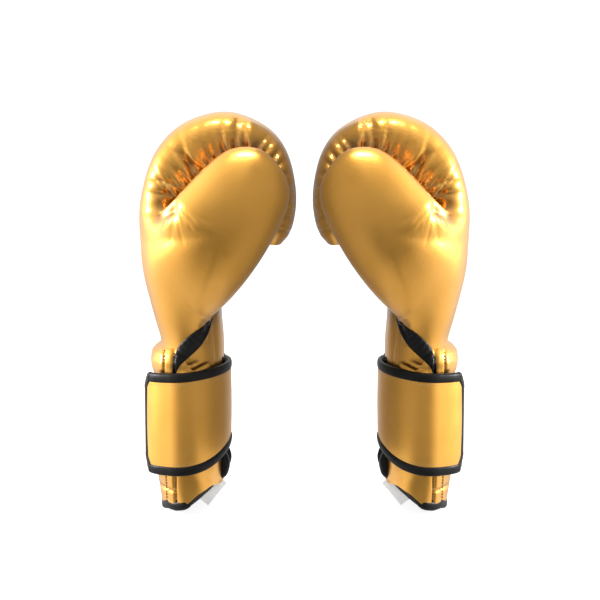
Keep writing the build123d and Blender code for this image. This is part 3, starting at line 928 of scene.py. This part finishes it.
def add_lining(side):
    lining = make("lining_sock", *lining_mesh, side, LINING, body="glove")
    wall = lining.modifiers.new("thickness", "SOLIDIFY")
    wall.thickness = 0.0006
    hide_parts(*n(side, "back_lining", "palm_lining", "cuff_lining", "thumb_lining"))
    bar = frame["nodes"][f"{side}_grip_bar"].data
    bar.materials.clear()
    bar.materials.append(LINING)

    elastic = make("slit_elastic_web", *elastic_mesh, side, ELASTIC, body="glove")
    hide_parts(*n(side, "slit_elastic"))


def add_wrist_panels(side):
    """The loop pile that the strap closes on, and the blank patch with its black border."""
    loop = make("loop_pad", *loop_mesh, side, LOOP, body="glove")
    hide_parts(*n(side, "loop_panel"))

    patch = make("blank_patch", *patch_mesh, side, WHITE, body="glove")
    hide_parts(*n(side, "back_patch"))
    border = make("patch_border", *border_mesh, side, BLACK, body="glove")


def add_strap(side):
    """The strap in two halves that meet at the middle of the wing."""
    leather_a = make("strap_leather_a", *front_a, side, STRAP_GOLD)
    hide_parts(*n(side, "strap_base"))
    leather_b = make("strap_leather_b", *front_b, side, STRAP_GOLD)
    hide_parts(*n(side, "strap_wing", "strap_tip"))
    edging_a = make("strap_edging_a", *bind_a, side, BLACK)
    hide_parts(*n(side, "strap_base_binding"))
    edging_b = make("strap_edging_b", *bind_b, side, BLACK)
    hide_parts(*n(side, "strap_wing_binding", "strap_tip_binding"))
    core = make("strap_backing", *core_mesh, side, LINING)
    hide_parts(*n(side, "strap_base_core", "strap_wing_core"))
    thread_a = make("strap_thread_a", *thread_mesh_a, side, GOLD_THREAD)
    thread_b = make("strap_thread_b", *thread_mesh_b, side, GOLD_THREAD)

    glove, wing, tip = n(side, "glove", "strap_wing", "strap_tip")
    over_wing_fold = (glove, wing, world(side, 30.5, -18, 78), world(side, 26.5, -27, 78))
    over_tip_fold = (wing, tip, world(side, -8, -47.5, 78), world(side, -17, -43, 78))
    for piece, bend, slot in (
        (leather_a, over_wing_fold, "strap_leather"),
        (edging_a, over_wing_fold, "black_binding"),
        (core, over_wing_fold, "lining_cloth"),
        (thread_a, over_wing_fold, "strap_leather"),
        (leather_b, over_tip_fold, "strap_leather"),
        (edging_b, over_tip_fold, "black_binding"),
        (thread_b, over_tip_fold, "strap_leather"),
    ):
        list(bend)
        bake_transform(piece)

    hook = make("hook_pad", *hook_mesh, side, HOOK, body="strap_tip")
    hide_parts(*n(side, "hook_panel"))


def add_seams_and_tag(side):
    seam_thread = make("seam_thread", *seam_mesh, side, THREAD, body="glove")

    label = make("care_tag", *tag_mesh, side, WHITE, body="glove")
    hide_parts(*n(side, "care_label"))


for side in SIDES:
    for add in (add_fist, add_cuff, add_lining, add_wrist_panels, add_strap, add_seams_and_tag):
        add(side)

# ---------------------------------------------------------------- studio


def studio_sheet(name, corners, paper_name, grey, roughness, glow):
    """A flat sheet that isn't part of the gloves, in matt paper that glows."""
    mesh = bpy.data.meshes.new(name)
    mesh.from_pydata(corners, [], [(0, 1, 2, 3)])
    sheet = bpy.data.objects.new(name, mesh)
    bpy.context.scene.collection.objects.link(sheet)
    paper, _, shader = nodes_of(paper_name)
    shader.inputs["Base Color"].default_value = (grey, grey, grey, 1)
    shader.inputs["Roughness"].default_value = roughness
    shader.inputs["Specular IOR Level"].default_value = 0.0
    shader.inputs["Emission Color"].default_value = (1, 1, 1, 1)
    shader.inputs["Emission Strength"].default_value = glow
    mesh.materials.append(paper)
    return sheet


def point_at(obj, place, aim):
    obj.location = place
    obj.rotation_euler = (Vector(aim) - Vector(place)).to_track_quat("-Z", "Y").to_euler()
    bpy.context.scene.collection.objects.link(obj)


def area_light(name, place, aim, size, size_y, power):
    data = bpy.data.lights.new(name, "AREA")
    data.shape = "RECTANGLE"
    data.size, data.size_y, data.energy = size, size_y, power
    point_at(bpy.data.objects.new(name, data), place, aim)


FLOOR_REACH = 6
floor_corners = [(x * FLOOR_REACH, y * FLOOR_REACH, 0) for x, y in ((-1, -1), (1, -1), (1, 1), (-1, 1))]
floor = studio_sheet("floor", floor_corners, "pale_floor", 0.4, 0.9, 0.86)
floor.visible_glossy = False

for sign, name in ((-1, "left"), (1, "right")):
    area_light(f"{name}_softbox", (sign * 1.1, 0.02, 0.36), (sign * 0.09, 0, 0.2), 0.28, 0.34, 13)
area_light("top_softbox", (0, -0.3, 1.5), (0, 0, 0.2), 0.5, 0.2, 14)

# A dark card stands between the gloves, out of sight of the camera, as a photographer's flag does.
card_corners = [(0, -0.62, 0.03), (0, 0.12, 0.03), (0, 0.12, 0.42), (0, -0.62, 0.42)]
card = studio_sheet("flag_card", card_corners, "flag_grey", 0.12, 1.0, 0.2)
card.visible_camera = False
card.visible_diffuse = False

sky = bpy.data.worlds.new("studio")
bpy.context.scene.world = sky
sky.use_nodes = True
tree = sky.node_tree
background = tree.nodes["Background"]


def math_node(operation, *values):
    node = tree.nodes.new("ShaderNodeMath")
    node.operation = operation
    for socket, value in zip(node.inputs, values):
        if isinstance(value, (int, float)):
            socket.default_value = value
        else:
            tree.links.new(value, socket)
    return node.outputs[0]


def map_range(value, low, high, to_low, to_high):
    node = tree.nodes.new("ShaderNodeMapRange")
    node.interpolation_type = "SMOOTHSTEP"
    for socket, number in zip(list(node.inputs)[1:5], (low, high, to_low, to_high)):
        socket.default_value = number
    tree.links.new(value, node.inputs[0])
    return node.outputs[0]


# The light that reaches the gloves: dim in front and below, bright at the two sides and overhead.
direction = tree.nodes.new("ShaderNodeTexCoord")
split = tree.nodes.new("ShaderNodeSeparateXYZ")
tree.links.new(direction.outputs["Generated"], split.inputs[0])
x_dir, y_dir, z_dir = (split.outputs[k] for k in range(3))
level = map_range(z_dir, -0.48, -0.06, 0.19, 0.47)
above = map_range(z_dir, 0.0, 0.85, 0.0, 0.72)
straight_down = map_range(z_dir, -0.95, -0.55, 0.6, 0.0)
at_sides = map_range(math_node("ABSOLUTE", x_dir), 0.42, 0.95, 0.0, 0.95)
behind = map_range(y_dir, -0.1, 0.9, 0.0, 0.28)
glow = math_node("ADD", math_node("ADD", level, above), math_node("ADD", at_sides, behind))
glow = math_node("ADD", glow, straight_down)
# The camera itself sees plain white behind the gloves.
seen = tree.nodes.new("ShaderNodeLightPath")
white_seen = math_node("MULTIPLY", seen.outputs["Is Camera Ray"], 1.2)
strength = math_node("MAXIMUM", glow, white_seen)
tree.links.new(strength, background.inputs["Strength"])
background.inputs["Color"].default_value = (1, 1, 1, 1)

camera_data = bpy.data.cameras.new("camera")
camera_data.lens = 84.6
camera_data.sensor_width = 36
camera_data.shift_x = -0.0075
camera_data.shift_y = 0.0167
camera = bpy.data.objects.new("camera", camera_data)
point_at(camera, (0, -1.0918, 0.292), (0, 0, 0.158))
bpy.context.scene.camera = camera
bpy.context.scene.view_settings.view_transform = "Standard"
